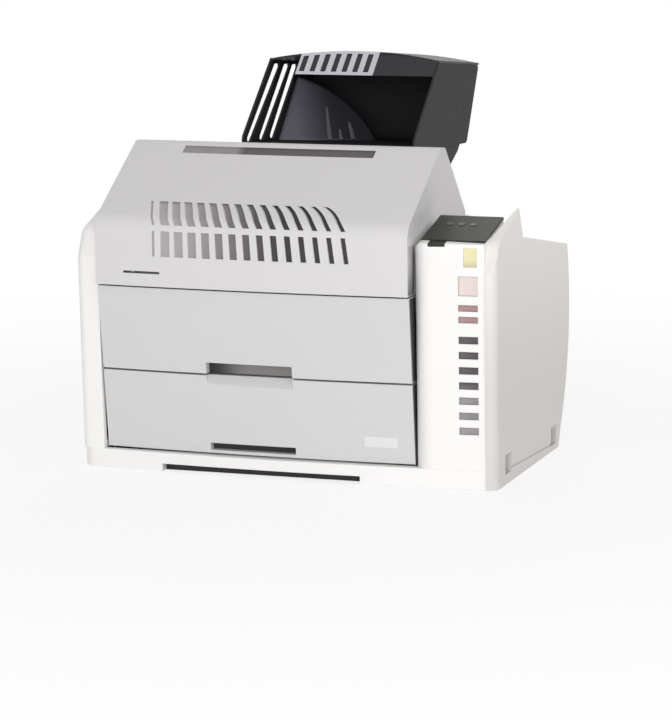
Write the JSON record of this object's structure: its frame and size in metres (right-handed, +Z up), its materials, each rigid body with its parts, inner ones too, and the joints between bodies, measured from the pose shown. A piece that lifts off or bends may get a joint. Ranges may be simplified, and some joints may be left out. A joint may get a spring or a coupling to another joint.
{
  "type": "medical film printer",
  "caption": "Table-top medical film printer with film drawers, a hinged slanted top cover with a vent grille, a control column and a dark film output hood at the rear.",
  "frame": {"origin": "on the flat underside of the base, at the middle of the width, 255 mm behind the base's front", "axes": "+X to the right seen from the front, +Y to the back, +Z up"},
  "size_m": [0.728, 0.7977, 0.6685],
  "materials": {
    "shell_white": "fine moulded texture, satin",
    "shell_grey": "fine moulded texture, satin",
    "side_grey": "fine moulded texture, satin",
    "hood_dark": "dark satin moulded plastic",
    "console_dark": "glossy dark",
    "display": "glossy",
    "amber": "translucent amber lens",
    "strip_grey": "satin",
    "inner_dark": "matt",
    "frame_steel": "zinc plated sheet",
    "bare_aluminium": "drawn, satin",
    "black_plastic": "satin",
    "gear_plastic": "natural engineering plastic",
    "rubber": "matt",
    "circuit": "varnished board",
    "label_white": "bare plate",
    "rocker": "glossy"
  },
  "bodies": {
    "root": {"base_pan": "shell_white", "foot_pads": "rubber", "left_side_cover": "shell_white", "right_side_cover": "side_grey", "column_front": "shell_white", "console_glass": "console_dark", "display_module": "display", "status_lamp": "amber", "vent_backing": "inner_dark", "rear_cover": "shell_grey", "rear_deck": "shell_grey", "right_deck": "side_grey", "hood_left_wall": "hood_dark", "hood_right_wall": "hood_dark", "hood_top": "hood_dark", "hood_back": "hood_dark", "output_tray": "hood_dark", "hood_neck": "hood_dark", "hood_vent_band": "label_white", "frame_left_plate": "frame_steel", "frame_right_plate": "frame_steel", "frame_crossbars": "frame_steel", "column_frame": "frame_steel", "control_board": "circuit", "power_supply": "frame_steel", "power_inlet": "black_plastic", "network_socket": "black_plastic", "bay_rails": "black_plastic", "print_head": "bare_aluminium", "film_guide": "frame_steel", "shaft_bearings": "gear_plastic", "drive_motors": "black_plastic", "fan_housing": "black_plastic", "cover_screws": "frame_steel", "hinge_brackets": "frame_steel", "hinge_pins": "frame_steel", "cover_buffers": "rubber"},
    "cover": {"top_cover": "shell_grey", "cover_grip_strip": "strip_grey", "grille_backing": "inner_dark"},
    "upper_drawer": {"upper_drawer_front": "shell_grey", "upper_drawer_tray": "frame_steel", "upper_grip_liner": "strip_grey"},
    "upper_lift": {"upper_lift_plate": "bare_aluminium"},
    "lower_drawer": {"lower_drawer_front": "shell_grey", "lower_drawer_tray": "frame_steel", "lower_grip_liner": "strip_grey", "label_plate": "label_white"},
    "lower_lift": {"lower_lift_plate": "bare_aluminium"},
    "platen": {"platen_roller": "rubber", "platen_gear": "gear_plastic"},
    "pinion": {"motor_pinion": "gear_plastic"},
    "exit_feed": {"exit_roller": "rubber"},
    "upper_pick": {"pick_roller_upper": "rubber"},
    "lower_pick": {"pick_roller_lower": "rubber"},
    "fan": {"fan_rotor": "black_plastic"},
    "rocker": {"power_rocker": "rocker"},
    "key_a": {"key_left": "side_grey"},
    "key_b": {"key_middle": "side_grey"},
    "key_c": {"key_right": "side_grey"}
  },
  "joints": [
    {"name": "cover_hinge", "type": "hinge", "parent": "root", "child": "cover", "pos_m": [-0.048, 0.04, 0.411], "axis": [-1, 0, 0], "range_deg": [0, 60]},
    {"name": "upper_drawer_slide", "type": "slide", "parent": "root", "child": "upper_drawer", "axis": [0, -1, 0], "range_m": [0, 0.3]},
    {"name": "lower_drawer_slide", "type": "slide", "parent": "root", "child": "lower_drawer", "axis": [0, -1, 0], "range_m": [0, 0.3]},
    {"name": "upper_lift_tilt", "type": "hinge", "parent": "upper_drawer", "child": "upper_lift", "pos_m": [-0.048, -0.196, 0.1886], "axis": [1, 0, 0], "range_deg": [0, 6]},
    {"name": "lower_lift_tilt", "type": "hinge", "parent": "lower_drawer", "child": "lower_lift", "pos_m": [-0.048, -0.196, 0.0521], "axis": [1, 0, 0], "range_deg": [0, 6]},
    {"name": "platen_spin", "type": "hinge", "parent": "root", "child": "platen", "pos_m": [-0.048, -0.06, 0.37515], "axis": [1, 0, 0], "continuous": true},
    {"name": "pinion_spin", "type": "hinge", "parent": "root", "child": "pinion", "pos_m": [0.195, -0.076, 0.3534], "axis": [1, 0, 0], "continuous": true},
    {"name": "exit_spin", "type": "hinge", "parent": "root", "child": "exit_feed", "pos_m": [-0.048, 0.084, 0.374], "axis": [1, 0, 0], "continuous": true},
    {"name": "upper_pick_spin", "type": "hinge", "parent": "root", "child": "upper_pick", "pos_m": [-0.048, 0.016, 0.2371], "axis": [1, 0, 0], "continuous": true},
    {"name": "lower_pick_spin", "type": "hinge", "parent": "root", "child": "lower_pick", "pos_m": [-0.048, 0.016, 0.1006], "axis": [1, 0, 0], "continuous": true},
    {"name": "fan_spin", "type": "hinge", "parent": "root", "child": "fan", "pos_m": [0.285, 0.1425, 0.232], "axis": [0, 1, 0], "continuous": true},
    {"name": "power_rocker_tilt", "type": "hinge", "parent": "root", "child": "rocker", "pos_m": [0.303, 0.202, 0.084], "axis": [-1, 0, 0], "range_deg": [0, 18]},
    {"name": "key_a_press", "type": "slide", "parent": "root", "child": "key_a", "axis": [0, 0.2334, -0.9724], "range_m": [0, 0.001], "stiffness_N_per_m": 600, "springref_m": -0.002},
    {"name": "key_b_press", "type": "slide", "parent": "root", "child": "key_b", "axis": [0, 0.2334, -0.9724], "range_m": [0, 0.001], "stiffness_N_per_m": 600, "springref_m": -0.002},
    {"name": "key_c_press", "type": "slide", "parent": "root", "child": "key_c", "axis": [0, 0.2334, -0.9724], "range_m": [0, 0.001], "stiffness_N_per_m": 600, "springref_m": -0.002}
  ],
  "couplings": [
    {"joint": "pinion_spin", "follows": "platen_spin", "ratio": -2},
    {"joint": "exit_spin", "follows": "platen_spin", "ratio": 1.6667}
  ]
}
